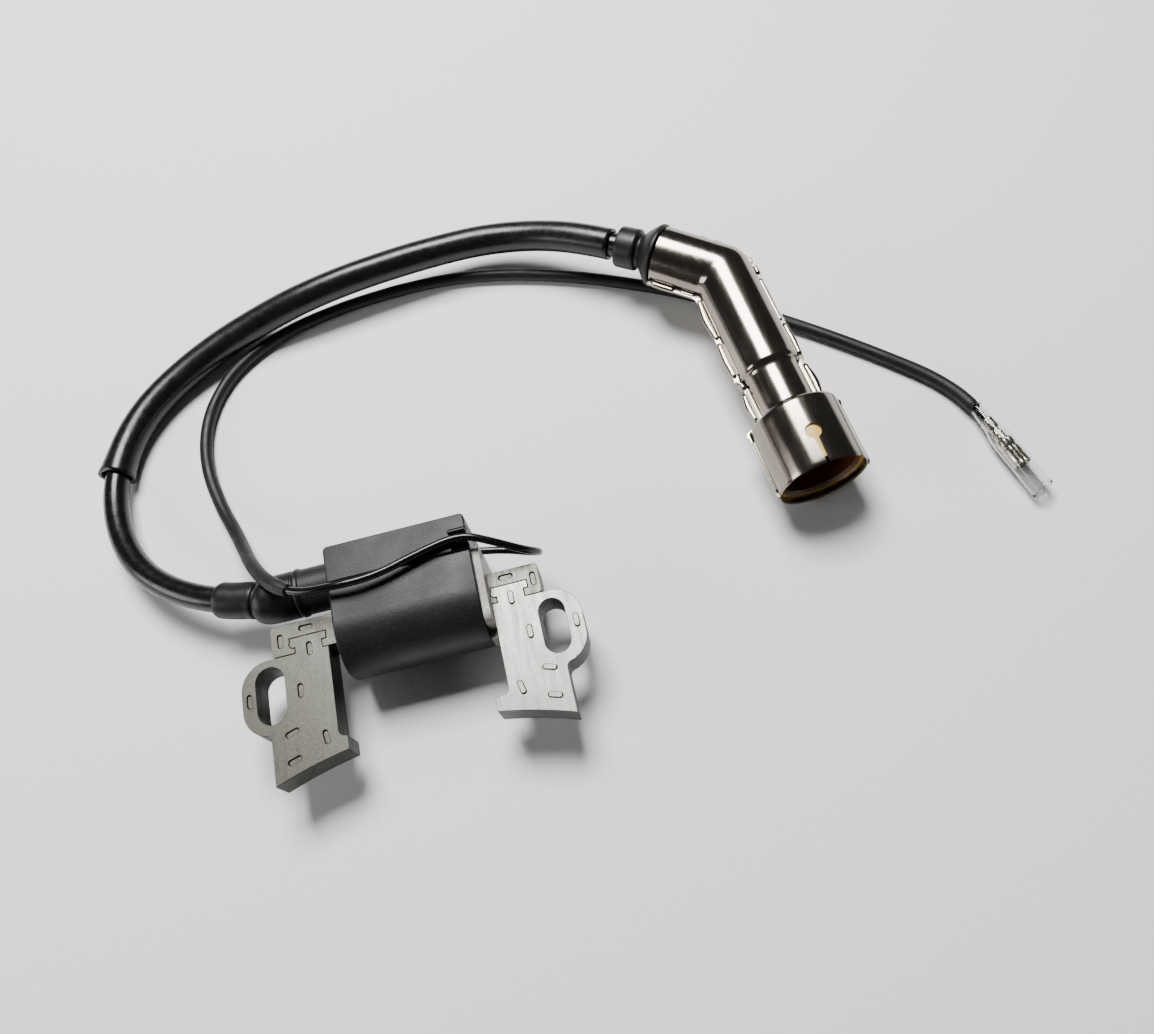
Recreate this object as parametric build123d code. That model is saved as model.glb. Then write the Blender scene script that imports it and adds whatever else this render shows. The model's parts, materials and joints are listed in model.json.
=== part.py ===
from build123d import *
import os
from math import asin, degrees, pi, radians, sin, sqrt, tan

# Ignition coil of a small four-stroke engine, with its high-tension lead, plug cap and stop wire.
# Millimetres. X runs along the yoke, Y points away from the flywheel, Z up. Floor at Z = 0.

# Laminated core
CORE_T = 8.5                      # stack height
CORE_Z = 9.0                      # underside of the stack
YOKE_HALF, YOKE_CORNER = 34.8, 0.9
YOKE_Y0, YOKE_Y1 = 4.2, 12.3
EAR_OUT = 43.3                    # outer edge of each mounting ear, from the centre line
EAR_R = 7.2
EAR_LOW = -15.2
LIMB_OUT = 36.8                   # outer edge of each limb, from the centre line
LEG_IN_LEFT, LEG_IN_RIGHT = 20.3, 21.8
POLE_Y = -27.6                    # outer corner of each pole face
POLE_R = 110.0                    # flywheel radius plus the air gap
TOE_X = 18.2
TOE_Y, TOE_SLOPE = -18.8, 0.7
LEG_FILLET = 1.5
SLOT_LEFT = (7.4, 14.6)
SLOT_RIGHT = (6.5, 14.2)
SLOT_X, SLOT_Y = 35.9, -5.2
HEAD_X0, HEAD_W, HEAD_Y0, HEAD_Y1 = 22.1, 9.3, 6.3, 8.3
NECK_X0, NECK_W = 23.3, 6.9
BULB_X, BULB_Y, BULB_R = 22.9, 6.7, 1.0    # round corner of the head, towards the windings
HEAD_SHIFT = -52.1                # the left joint is the right one moved along the yoke
JOINT_GAP = 0.08
MARK_L, MARK_W, MARK_DEPTH = 3.6, 1.3, 0.35
OVER = 1.0                        # how far a cut runs past the face it opens

# Moulded housing
HOUSE_X0, HOUSE_X1 = -16.5, 20.0
REAR_Y0, REAR_Y1, REAR_Z = 16.8, 26.8, 26.0
BARREL_Y0, BARREL_Z0, BARREL_Z1 = -4.2, 0.8, 25.2
BARREL_R, BARREL_LAP = 11.0, 4.0
REAR_CORNER, EDGE_R = 1.2, 0.5
WALL = 1.6
UNDER_Y, UNDER_Z = 8.0, 6.0       # step between the barrel's space and the open underside
CLIP_X, CLIP_Y, CLIP_FRONT, CLIP_BACK, CLIP_DEPTH = 15.5, 20.2, 3.2, 2.7, 2.0
CLIP_LIP, CLIP_GAP, CLIP_RISE = 0.6, 1.35, 1.8
LIP_R = 0.2
RESIN_Z = 0.6

# Windings round the yoke
YOKE_CY = (YOKE_Y0 + YOKE_Y1) / 2
YOKE_CZ = CORE_Z + CORE_T / 2
TUBE_GAP, TUBE_WALL = 0.1, 1.0
PRIMARY = (14.6, 15.0)
SECONDARY_TUBE = (16.2, 16.4)
SECONDARY = (20.0, 19.6)
WIND_X0, WIND_X1 = -13.6, 17.4
FLANGE_T = 1.1
HOLE_CORNER, TUBE_CORNER = 0.1, 0.5
WIND_CORNER, SPOOL_CORNER, RIB_CORNER, COIL_CORNER = 2.0, 3.4, 7.4, 6.4
RIB_COUNT, RIB_T, RIB_PROUD = 8, 0.8, 0.6
END_FLANGE = (20.5, 20.5)
END_FLANGE_T = 1.8
LUG_Y0, LUG_Y1, LUG_HALF = -4.4, -1.0, 3.0

# Trigger board in the rear of the housing
BOARD_X, BOARD_L, BOARD_H, BOARD_Y, BOARD_T = 4.5, 20.0, 17.0, 23.7, 1.2
CHIP, CHIP_INSET, CHIP_BEVEL = (8.4, 1.9, 8.0), 1.5, 0.4
BOARD_RESISTOR_R, BOARD_RESISTOR_L, BOARD_RESISTOR_X = 0.9, 5.5, 2.5
BOARD_RESISTOR_Z = (-5.0, -1.5, 5.5)

# High-tension outlet
OUTLET_Y, OUTLET_Z = 21.8, 13.0
TOWER_R, TOWER_END = 6.1, -26.0
SPIGOT_R, SPIGOT_END = 4.9, -31.0
BOOT_R, BOOT_TURN = 6.25, -37.0
BOOT_CUP_PAST, BOOT_CUP_FILLET, BOOT_GRIP_FILLET = 0.6, 0.8, 0.7
BOOT_NECK_R, BOOT_NECK_L = 4.2, 3.0
BOOT_GRIP_R, BOOT_GRIP_L, BOOT_GRIP_START = 4.8, 10.2, 0.7
NEEDLE_R, NEEDLE_IN, NEEDLE_POINT, NEEDLE_TIP_R = 0.8, 7.0, 2.0, 0.1
NEEDLE_FOOT_R, NEEDLE_FOOT_L = 2.2, 0.9

# High-tension lead and its loose sleeve
LEAD_R = 3.5
SLEEVE_IN, SLEEVE_OUT = 3.8, 4.55
SLEEVE_START, SLEEVE_STOP = 0.318, 0.915    # fractions of the lead's length
LEAD_ROUTE = [
    (-17.5, 21.8, 13.0), (-37.0, 21.8, 13.0), (-56.5, 28.5, 11.8), (-71.5, 40.5, 9.0),
    (-79.5, 57.5, 6.4), (-80.5, 76.5, 4.9), (-73.0, 94.0, 4.7), (-58.0, 107.0, 4.8),
    (-37.0, 116.0, 6.8), (-12.0, 120.0, 11.0), (18.0, 123.5, 10.8), (47.0, 124.0, 9.6),
    (74.3, 108.6, 15.5), (97.0, 90.5, 15.5),
]

# Plug cap, in its own frame: elbow centre at the origin, short arm along -X
ELBOW_TURN = 45.0
LEAD_TO_ELBOW = 9.0
MOUTH = 19.0
ARM_L = 68.5
NECK_AT, SOCKET_AT, SHOULDER = 34.0, 49.0, 2.0
ARM_R, NECK_R, SOCKET_R = 8.6, 7.7, 12.3
SHEET, FIT_GAP, FREE_GAP = 0.55, 0.05, 0.3
SEAM_OUT, SEAM_T, SEAM_SHORT, SEAM_PAST = 1.3, 0.5, 0.5, 6.0
FLOOR_GAP = 0.05
MOUTH_INSET, RIM_INSET = 1.0, 2.0     # how far the insulator stops inside the shield's two ends
PLUG_BORE_R, PLUG_BEVEL = 10.0, 0.9
LEAD_STOP, TERMINAL_ROOM, STEP_R = 0.5, 0.8, 5.6
KEYHOLE_R, KEYHOLE_AT, KEYHOLE_SLIT = 2.1, 59.3, 0.9
SEAL_COLLAR_R, SEAL_SPIGOT_R, SEAL_IN = 5.9, 6.2, 13.0
SEAL_COLLAR_X0, SEAL_COLLAR_X1, SEAL_FILLET = -32.0, -25.8, 0.8
SEAL_WAIST_X0, SEAL_WAIST_X1, SEAL_WAIST_R = -27.0, -23.0, 4.9
SEAL_SKIRT_X0, SEAL_SKIRT_R, SEAL_EDGE_T = -24.5, 5.4, 1.0
RESISTOR_R, TERMINAL_R, TERMINAL_BORE, TERMINAL_BEVEL = 2.6, 4.0, 3.2, 0.3
TERMINAL_BASE_T, TERMINAL_SHORT = 1.5, 1.0
RING_BACK, RING_W, RING_DEPTH, RING_PROUD, RING_GAP = 4.5, 1.2, 0.4, 0.2, 1.6
SPRING_WIRE_R, SPRING_COIL_R, SPRING_TURNS = 0.3, 2.0, 5
RESISTOR_X0, RESISTOR_X1, SPRING_X1, TERMINAL_X1 = 5.0, 21.0, 30.0, 44.0
SCREW_R, SCREW_HEAD_R, SCREW_TIP, SCREW_POINT, SCREW_LINK_R = 0.95, 2.4, 16.0, 1.5, 1.2
SCREW_TIP_R = 0.15

# Stop wire, its braided sleeve and its bullet receptacle
WIRE_R = 1.0
BRAID_IN, BRAID_OUT = 1.1, 1.85
BRAID_START, BRAID_STOP = 0.198, 0.978
WIRE_ROUTE = [
    (16.5, 23.4, 9.5), (25.5, 22.2, 8.6), (33.8, 18.8, 9.2), (36.8, 15.4, 15.6),
    (32.4, 14.6, 22.2), (25.6, 17.2, 25.8), (18.5, 20.2, 27.5), (7.5, 18.0, 27.6), (-4.0, 14.6, 28.0),
    (-15.0, 14.4, 28.6), (-24.5, 16.2, 26.2), (-31.5, 21.5, 24.1), (-37.0, 29.5, 19.0),
    (-41.5, 38.0, 11.2), (-46.0, 48.0, 4.8), (-50.8, 59.0, 2.1), (-54.0, 71.0, 2.0),
    (-54.4, 83.5, 2.0), (-50.8, 95.3, 2.0), (-42.7, 106.1, 2.0), (-30.3, 113.3, 2.0),
    (-14.0, 117.6, 2.0), (6.0, 119.6, 2.0), (27.0, 119.2, 2.0), (48.0, 114.4, 2.0),
    (70.0, 105.5, 2.0), (92.0, 94.0, 2.0), (112.0, 80.0, 2.0), (130.0, 65.5, 2.0),
    (145.5, 51.5, 2.0), (155.0, 41.5, 2.1), (159.8, 31.5, 3.2), (162.5, 21.0, 3.2),
]
BULLET_R, BULLET_BORE, BULLET_L = 2.45, 1.95, 9.0
CRIMP_R, CRIMP_L, CRIMP_GAP = 1.5, 6.0, 0.05
BULLET_WEB, BULLET_FLOOR = 1.0, 0.6
CLEAR_L, CLEAR_NECK_L, CLEAR_NECK_R, CLEAR_R, CLEAR_WALL = 29.5, 9.0, 2.75, 3.15, 0.4
CLEAR_FLARE = 3.0


def slab(x0, x1, y0, y1, z0, z1):
    return Pos((x0 + x1) / 2, (y0 + y1) / 2, (z0 + z1) / 2) * Box(x1 - x0, y1 - y0, z1 - z0)


def rod(x0, x1, radius, y=0.0, z=0.0):
    """Round bar along X."""
    return Pos((x0 + x1) / 2, y, z) * Rot(0, 90, 0) * Cylinder(radius, abs(x1 - x0))


def stack(profile):
    """Laminated stack of the given outline."""
    return extrude(Pos(0, 0, CORE_Z) * profile, CORE_T)


# ---------------------------------------------------------------- core

def joint_head(grow=0.0):
    """T-shaped head that locks a leg into the yoke, on the right leg."""
    bottom = YOKE_Y0 - OVER
    head_h = HEAD_Y1 - HEAD_Y0 + 2 * grow
    head = Pos(HEAD_X0 + HEAD_W / 2, (HEAD_Y0 + HEAD_Y1) / 2) * Rectangle(HEAD_W + 2 * grow, head_h)
    neck_h = HEAD_Y1 - bottom
    neck = Pos(NECK_X0 + NECK_W / 2, (HEAD_Y1 + bottom) / 2) * Rectangle(NECK_W + 2 * grow, neck_h)
    return head + neck + Pos(BULB_X, BULB_Y) * Circle(BULB_R + grow)


def marks(places, z, height):
    """Interlock ovals; each place is x, y and the oval's turn."""
    solids = []
    for x, y, turn in places:
        oval = Pos(x, y, z) * Rot(0, 0, turn) * SlotOverall(MARK_L, MARK_W)
        solids.append(extrude(oval, height))
    return solids


def core_yoke():
    outline = Pos(0, YOKE_CY) * RectangleRounded(2 * YOKE_HALF, YOKE_Y1 - YOKE_Y0, YOKE_CORNER)
    outline -= joint_head(JOINT_GAP)
    outline -= Pos(HEAD_SHIFT, 0) * joint_head(JOINT_GAP)
    places = [(-25.6, 10.4, 0), (-32.4, 8.2, 90), (26.4, 10.4, 0), (33.1, 8.2, 90)]
    return stack(outline) - marks(places, CORE_Z + CORE_T - MARK_DEPTH, OVER)


def leg_outline(inner, slot):
    """Right-hand leg: limb, mounting ear with its slot, and concave pole shoe."""
    top = YOKE_Y0 - JOINT_GAP
    low = POLE_Y - OVER
    limb = Polygon(
        (inner, top), (inner, TOE_Y), (TOE_X, TOE_Y - TOE_SLOPE), (TOE_X, low),
        (LIMB_OUT, low), (LIMB_OUT, top), align=None,
    )
    ear_h = top - EAR_LOW
    ear = Pos(EAR_OUT - EAR_R, top - ear_h / 2) * Rot(0, 0, 90) * SlotOverall(ear_h, 2 * EAR_R)
    pole_cy = POLE_Y - sqrt(POLE_R**2 - LIMB_OUT**2)
    body = limb + ear - Pos(0, pole_cy) * Circle(POLE_R)
    near = 0.6
    waist = [v for v in body.vertices() if abs(v.X - LIMB_OUT) < near and TOE_Y < v.Y < SLOT_Y]
    knee = [v for v in body.vertices() if abs(v.X - inner) < near and abs(v.Y - TOE_Y) < near]
    body = fillet(waist + knee, LEG_FILLET)
    return body - Pos(SLOT_X, SLOT_Y) * Rot(0, 0, 90) * SlotOverall(slot[1], slot[0])


def core_leg_right():
    leg = stack(leg_outline(LEG_IN_RIGHT, SLOT_RIGHT) + joint_head())
    places = [(26.8, 4.6, 90), (29.7, -5.2, 90), (41.4, -5.2, 90), (32.6, -15.2, -17),
              (32.5, -22.2, -17), (25.0, -18.4, 102)]
    return leg + marks(places, CORE_Z + CORE_T, MARK_DEPTH)


def core_leg_left():
    flat = mirror(leg_outline(LEG_IN_LEFT, SLOT_LEFT), Plane.YZ)
    leg = stack(flat + Pos(HEAD_SHIFT, 0) * joint_head())
    places = [(-25.2, 4.6, 90), (-28.5, -5.6, 90), (-41.4, -5.4, 90), (-31.6, -15.6, 17),
              (-31.6, -22.4, 17), (-23.4, -18.6, 98)]
    return leg - marks(places, CORE_Z + CORE_T - MARK_DEPTH, OVER)


# ------------------------------------------------------------- housing and windings

def yoke_ring(x0, x1, size, hole=None, radius=WIND_CORNER, hole_radius=HOLE_CORNER):
    """Block round the yoke's axis, with an optional rectangular hole along X."""
    def block(width, height, corner):
        face = Plane.YZ * Pos(YOKE_CY, YOKE_CZ) * RectangleRounded(width, height, corner)
        return extrude(Pos(x0, 0, 0) * face, x1 - x0)
    ring = block(size[0], size[1], radius)
    if hole:
        ring -= block(hole[0], hole[1], hole_radius)
    return ring


def tube_hole():
    return (YOKE_Y1 - YOKE_Y0 + 2 * TUBE_GAP, CORE_T + 2 * TUBE_GAP)


def tube_size():
    hole = tube_hole()
    return (hole[0] + 2 * TUBE_WALL, hole[1] + 2 * TUBE_WALL)


def barrel(grow):
    """Rounded front part of the housing, grown outwards by the given amount."""
    y0, y1 = BARREL_Y0 - grow, REAR_Y0 + BARREL_LAP
    z0, z1 = BARREL_Z0 - grow, BARREL_Z1 + grow
    body = slab(HOUSE_X0 - grow, HOUSE_X1 + grow, y0, y1, z0, z1)
    front = body.edges().filter_by(Axis.X).group_by(Axis.Y)[0]
    return fillet(front, BARREL_R + grow)


def round_ends(body):
    """Rounds the edges of a body's two end faces along X."""
    faces = body.faces().sort_by(Axis.X)
    return fillet(faces[0].edges() + faces[-1].edges(), EDGE_R)


def housing_outer():
    rear = slab(HOUSE_X0, HOUSE_X1, REAR_Y0, REAR_Y1, 0, REAR_Z)
    rear = fillet(rear.edges().filter_by(Axis.Z).group_by(Axis.Y)[-1], REAR_CORNER)
    rear = fillet(rear.faces().sort_by(Axis.Z)[-1].edges(), EDGE_R)
    shell = rear + round_ends(barrel(0)) + tower()
    for side in (-1, 1):
        shell += clip_lip(CLIP_Y + side * CLIP_GAP)
    return shell


def clip_lip(y):
    lip_z = REAR_Z - CLIP_DEPTH
    lip = slab(CLIP_X, HOUSE_X1, y - CLIP_LIP / 2, y + CLIP_LIP / 2, lip_z, REAR_Z + CLIP_RISE)
    return fillet(lip.faces().sort_by(Axis.Z)[-1].edges(), LIP_R)


def clip_channel():
    """Pockets either side of the two lips that hold the stop wire."""
    y0, y1 = CLIP_Y - CLIP_FRONT, CLIP_Y + CLIP_BACK
    inner = CLIP_GAP + CLIP_LIP / 2
    z0, z1 = REAR_Z - CLIP_DEPTH, REAR_Z + CLIP_RISE
    low = slab(CLIP_X, HOUSE_X1 + OVER, y0, CLIP_Y - inner, z0, z1)
    high = slab(CLIP_X, HOUSE_X1 + OVER, CLIP_Y + inner, y1, z0, z1)
    return low + high


def tower():
    spigot = rod(SPIGOT_END, HOUSE_X0, SPIGOT_R, OUTLET_Y, OUTLET_Z)
    return spigot + rod(TOWER_END, HOUSE_X0 + EDGE_R, TOWER_R, OUTLET_Y, OUTLET_Z)


def cavity():
    """Space inside the housing, open underneath for potting."""
    x0, x1 = HOUSE_X0 + WALL, HOUSE_X1 - WALL
    top = REAR_Z - WALL - CLIP_DEPTH
    rear = slab(x0, x1, REAR_Y0 - OVER, REAR_Y1 - WALL, -OVER, top)
    under = slab(x0, x1, BARREL_Y0 + UNDER_Y, REAR_Y0, -OVER, BARREL_Z0 + UNDER_Z)
    return rear + barrel(-WALL) + under


def housing():
    lead_x = LEAD_ROUTE[0][0]
    size = tube_size()
    shell = housing_outer() - clip_channel() - cavity()
    shell -= yoke_ring(HOUSE_X0 - OVER, HOUSE_X0 + WALL + OVER, tube_hole(), radius=HOLE_CORNER)
    shell -= yoke_ring(HOUSE_X1 - WALL - OVER, HOUSE_X1 + OVER, size, radius=TUBE_CORNER)
    shell -= rod(SPIGOT_END - OVER, lead_x, LEAD_R, OUTLET_Y, OUTLET_Z)
    shell -= rod(lead_x - OVER, HOUSE_X0 + WALL + OVER, NEEDLE_R, OUTLET_Y, OUTLET_Z)
    return shell - wire_tube(WIRE_R)


def primary_bobbin():
    size = tube_size()
    end = HOUSE_X1 + END_FLANGE_T
    tube = yoke_ring(HOUSE_X0 + WALL, end, size, tube_hole(), TUBE_CORNER)
    inner = yoke_ring(WIND_X0 - FLANGE_T, WIND_X0, PRIMARY, tube_hole())
    outer = yoke_ring(HOUSE_X1, end, END_FLANGE, tube_hole())
    lug = slab(HOUSE_X1, end, LUG_Y0, LUG_Y1, YOKE_CZ - LUG_HALF, YOKE_CZ + LUG_HALF)
    return tube + inner + outer + lug


def primary_winding():
    return yoke_ring(WIND_X0, WIND_X1, PRIMARY, tube_size())


def secondary_bobbin():
    body = yoke_ring(WIND_X0, WIND_X1, SECONDARY_TUBE, PRIMARY, SPOOL_CORNER, WIND_CORNER)
    for x in rib_places():
        body += yoke_ring(x, x + RIB_T, SECONDARY, PRIMARY, RIB_CORNER, WIND_CORNER)
    return body


def rib_places():
    pitch = (WIND_X1 - WIND_X0 - RIB_T) / (RIB_COUNT - 1)
    return [WIND_X0 + pitch * i for i in range(RIB_COUNT)]


def secondary_winding():
    """One coil in each chamber between the ribs."""
    places = rib_places()
    full = (SECONDARY[0] - 2 * RIB_PROUD, SECONDARY[1] - 2 * RIB_PROUD)
    coils = []
    for a, b in zip(places, places[1:]):
        coils.append(yoke_ring(a + RIB_T, b, full, SECONDARY_TUBE, COIL_CORNER, SPOOL_CORNER))
    return Compound(coils)


def trigger_board():
    y1 = BOARD_Y + BOARD_T
    z0 = OUTLET_Z - BOARD_H / 2
    x0 = BOARD_X - BOARD_L / 2
    return slab(x0, x0 + BOARD_L, BOARD_Y, y1, z0, z0 + BOARD_H)


def igniter_transistor():
    x0 = BOARD_X - BOARD_L / 2 + CHIP_INSET
    z0 = OUTLET_Z - CHIP[2] / 2
    body = slab(x0, x0 + CHIP[0], BOARD_Y - CHIP[1], BOARD_Y, z0, z0 + CHIP[2])
    return chamfer(body.faces().sort_by(Axis.Y)[0].edges(), CHIP_BEVEL)


def board_resistors():
    """Three small resistors on the trigger board."""
    radius = BOARD_RESISTOR_R
    x0 = BOARD_X + BOARD_RESISTOR_X
    x1 = x0 + BOARD_RESISTOR_L
    return Compound([rod(x0, x1, radius, BOARD_Y - radius, OUTLET_Z + z) for z in BOARD_RESISTOR_Z])


def ht_terminal():
    """Needle that pierces the end of the lead, with its foot inside the housing."""
    inside = HOUSE_X0 + WALL
    foot = rod(inside, inside + NEEDLE_FOOT_L, NEEDLE_FOOT_R, OUTLET_Y, OUTLET_Z)
    tip = LEAD_ROUTE[0][0] - NEEDLE_IN
    needle = rod(tip, inside, NEEDLE_R, OUTLET_Y, OUTLET_Z)
    point = Rot(0, 90, 0) * Cone(NEEDLE_TIP_R, NEEDLE_R, NEEDLE_POINT)
    return foot + needle + Pos(tip - NEEDLE_POINT / 2, OUTLET_Y, OUTLET_Z) * point


def potting_resin():
    """Casting resin in all the room that the windings and the board leave."""
    resin = cavity() & slab(HOUSE_X0, HOUSE_X1, BARREL_Y0, REAR_Y1, RESIN_Z, REAR_Z)
    resin -= yoke_ring(HOUSE_X0, HOUSE_X1, tube_size(), radius=TUBE_CORNER)
    resin -= yoke_ring(WIND_X0 - FLANGE_T, WIND_X0, PRIMARY)
    resin -= yoke_ring(WIND_X0, WIND_X1, SECONDARY, radius=RIB_CORNER)
    resin -= trigger_board()
    resin -= igniter_transistor()
    resin -= board_resistors()
    resin -= ht_terminal()
    return resin - wire_tube(WIRE_R)


# ------------------------------------------------------------- cords

def corner_radii(points):
    """Arc radius at each corner: a share of the shorter run over the tangent of half the turn."""
    share = 0.45
    spots = [Vector(*p) for p in points]
    radii = []
    for before, here, after in zip(spots, spots[1:], spots[2:]):
        turn = (here - before).get_angle(after - here)
        shorter = min((here - before).length, (after - here).length)
        radii.append(share * shorter / tan(radians(turn / 2)))
    return radii


def route_path(points):
    return FilletPolyline(*points, radius=corner_radii(points)).wire()


def hose(path, outer, inner=0.0):
    start = Plane(origin=path @ 0, z_dir=path % 0)
    section = start * Circle(outer)
    if inner:
        section -= start * Circle(inner)
    return sweep(section, path=path)


LEAD_PATH = route_path(LEAD_ROUTE)
WIRE_PATH = route_path(WIRE_ROUTE)


def wire_tube(radius):
    return hose(WIRE_PATH, radius)


def ht_lead():
    """Lead with the blind holes that the needle and the cap's screw make in its ends."""
    finish = Vector(*LEAD_ROUTE[-1])
    lead = hose(LEAD_PATH, LEAD_R) - ht_terminal()
    hole_l = SCREW_TIP - LEAD_TO_ELBOW + LEAD_STOP
    hole = Pos(0, 0, hole_l / 2) * Cylinder(SCREW_R + FREE_GAP, hole_l)
    return lead - Plane(origin=finish, z_dir=-(LEAD_PATH % 1)) * hole


def protective_sleeve():
    return hose(LEAD_PATH.trim(SLEEVE_START, SLEEVE_STOP), SLEEVE_OUT, SLEEVE_IN)


def outlet_boot():
    """Rubber boot: a cup over the tower's spigot, then a thinner grip that follows the lead."""
    cup = rod(BOOT_TURN + BOOT_CUP_PAST, TOWER_END, BOOT_R, OUTLET_Y, OUTLET_Z)
    cup = fillet(cup.edges().sort_by(Axis.X)[0], BOOT_CUP_FILLET)
    turn = Vector(*LEAD_ROUTE[1])
    frame = Plane(origin=turn, z_dir=Vector(*LEAD_ROUTE[2]) - turn)
    grip = Pos(0, 0, BOOT_GRIP_START + BOOT_GRIP_L / 2) * Cylinder(BOOT_GRIP_R, BOOT_GRIP_L)
    grip = fillet(grip.edges().filter_by(GeomType.CIRCLE), BOOT_GRIP_FILLET)
    boot = cup + frame * (Cylinder(BOOT_NECK_R, BOOT_NECK_L) + grip)
    boot -= rod(SPIGOT_END, TOWER_END + OVER, SPIGOT_R, OUTLET_Y, OUTLET_Z)
    return boot - hose(LEAD_PATH, LEAD_R)


def stop_wire():
    return wire_tube(WIRE_R)


def braided_sleeve():
    return hose(WIRE_PATH.trim(BRAID_START, BRAID_STOP), BRAID_OUT, BRAID_IN)


def wire_end():
    """Frame at the last corner of the stop wire, with Z along its last run."""
    corner = Vector(*WIRE_ROUTE[-2])
    return Plane(origin=corner, z_dir=Vector(*WIRE_ROUTE[-1]) - corner)


def peg(z0, z1, radius, far_radius=None):
    """Round bar along Z, tapered when a second radius is given."""
    form = Cone(radius, far_radius, z1 - z0) if far_radius else Cylinder(radius, z1 - z0)
    return Pos(0, 0, (z0 + z1) / 2) * form


def bullet_terminal():
    """Crimp round the end of the wire, and the receptacle for a bullet plug."""
    wire_l = (Vector(*WIRE_ROUTE[-1]) - Vector(*WIRE_ROUTE[-2])).length
    web_z = wire_l + BULLET_WEB
    floor_z = web_z + BULLET_FLOOR
    end_z = web_z + BULLET_L
    crimp = peg(wire_l - CRIMP_L, web_z, CRIMP_R)
    crimp -= peg(wire_l - CRIMP_L, wire_l, WIRE_R + CRIMP_GAP)
    socket = peg(web_z, end_z, BULLET_R) - peg(floor_z, end_z, BULLET_BORE)
    return wire_end() * (crimp + socket)


def clear_form(inset):
    """Outer form of the clear sleeve, or its inside when inset by the wall."""
    z1, z2 = CLEAR_NECK_L, CLEAR_NECK_L + CLEAR_FLARE
    neck_r, wide_r = CLEAR_NECK_R - inset, CLEAR_R - inset
    return peg(0, z1, neck_r) + peg(z1, z2, neck_r, wide_r) + peg(z2, CLEAR_L, wide_r)


def terminal_insulator():
    """Clear sleeve: narrow over the wire, wide over the receptacle, open at the mouth."""
    return wire_end() * (clear_form(0) - clear_form(CLEAR_WALL))


# ------------------------------------------------------------- plug cap

def cap_place():
    """The cap's frame: X along the lead's last run, tipped until the socket's rim meets the floor."""
    last, before = Vector(*LEAD_ROUTE[-1]), Vector(*LEAD_ROUTE[-2])
    along = (last - before).normalized()
    elbow = last + along * LEAD_TO_ELBOW
    drop = ARM_L * sin(radians(ELBOW_TURN))
    tip = degrees(asin((elbow.Z - SOCKET_R - FLOOR_GAP) / drop))
    return Plane(origin=elbow, x_dir=along, z_dir=(0, 0, 1)).location * Rot(tip, 0, 0)


LONG_ARM = Rot(0, 0, -ELBOW_TURN)


def along_arm(x0, x1, radius):
    """Round bar along the long arm, in the cap's frame."""
    return LONG_ARM * rod(x0, x1, radius)


def taper(x0, x1, radius0, radius1):
    """Cone along X."""
    return Pos((x0 + x1) / 2, 0, 0) * Rot(0, 90, 0) * Cone(radius0, radius1, x1 - x0)


def elbow_solid(short0, arm_r, neck_r, socket_r, rim):
    """Outer form shared by the shield and the insulator."""
    body = rod(short0, 0, arm_r) + Sphere(arm_r) + along_arm(0, NECK_AT, arm_r)
    body += along_arm(NECK_AT - OVER, SOCKET_AT, neck_r)
    body += LONG_ARM * taper(SOCKET_AT - SHOULDER, SOCKET_AT, neck_r, socket_r)
    return body + along_arm(SOCKET_AT, rim, socket_r)


def shield_forms():
    outer = elbow_solid(-MOUTH, ARM_R, NECK_R, SOCKET_R, ARM_L)
    wall = SHEET - FIT_GAP
    inner = elbow_solid(-MOUTH - OVER, ARM_R - wall, NECK_R - wall, SOCKET_R - wall, ARM_L + OVER)
    return outer, inner


def shield_half(side):
    """One stamped half of the shield, above (1) or below (-1) the plane of the two arms."""
    outer, inner = shield_forms()
    arm_r, neck_r = ARM_R + SEAM_OUT, NECK_R + SEAM_OUT
    rim = elbow_solid(-MOUTH + SEAM_SHORT, arm_r, neck_r, SOCKET_R, SOCKET_AT + SEAM_PAST)
    far = 2 * ARM_L
    seam = rim & slab(-far, far, -far, far, min(0, side * SEAM_T), max(0, side * SEAM_T))
    skin = outer & slab(-far, far, -far, far, min(0, side * far), max(0, side * far))
    return (skin + seam) - inner


def keyhole():
    depth = 2 * SOCKET_R
    hole = Pos(KEYHOLE_AT, 0, depth / 2) * Cylinder(KEYHOLE_R, depth)
    slit = slab(KEYHOLE_AT, ARM_L + OVER, -KEYHOLE_SLIT / 2, KEYHOLE_SLIT / 2, 0, depth)
    return LONG_ARM * (hole + slit)


def cap_shield_upper():
    return cap_place() * (shield_half(1) - keyhole())


def cap_shield_lower():
    return cap_place() * shield_half(-1)


def cap_insulator():
    """Moulded elbow inside the shield, with bores for lead, resistor, plug terminal and plug."""
    rim = ARM_L - RIM_INSET
    step_x = SOCKET_AT + OVER
    body = elbow_solid(-MOUTH + MOUTH_INSET, ARM_R - SHEET, NECK_R - SHEET, SOCKET_R - SHEET, rim)
    body -= rod(-MOUTH, -SEAL_IN + FREE_GAP, SEAL_SPIGOT_R + FREE_GAP)
    body -= rod(-MOUTH, -LEAD_TO_ELBOW + LEAD_STOP, LEAD_R + FREE_GAP)
    body -= rod(-LEAD_TO_ELBOW, 0, SCREW_R) + Sphere(SCREW_HEAD_R)
    body -= along_arm(0, SPRING_X1, RESISTOR_R)
    body -= along_arm(SPRING_X1, TERMINAL_X1, TERMINAL_R + TERMINAL_ROOM)
    body -= along_arm(TERMINAL_X1, step_x, STEP_R)
    body -= along_arm(step_x, ARM_L, PLUG_BORE_R)
    body -= LONG_ARM * taper(rim - PLUG_BEVEL, rim, PLUG_BORE_R, PLUG_BORE_R + PLUG_BEVEL)
    return cap_place() * body


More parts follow.
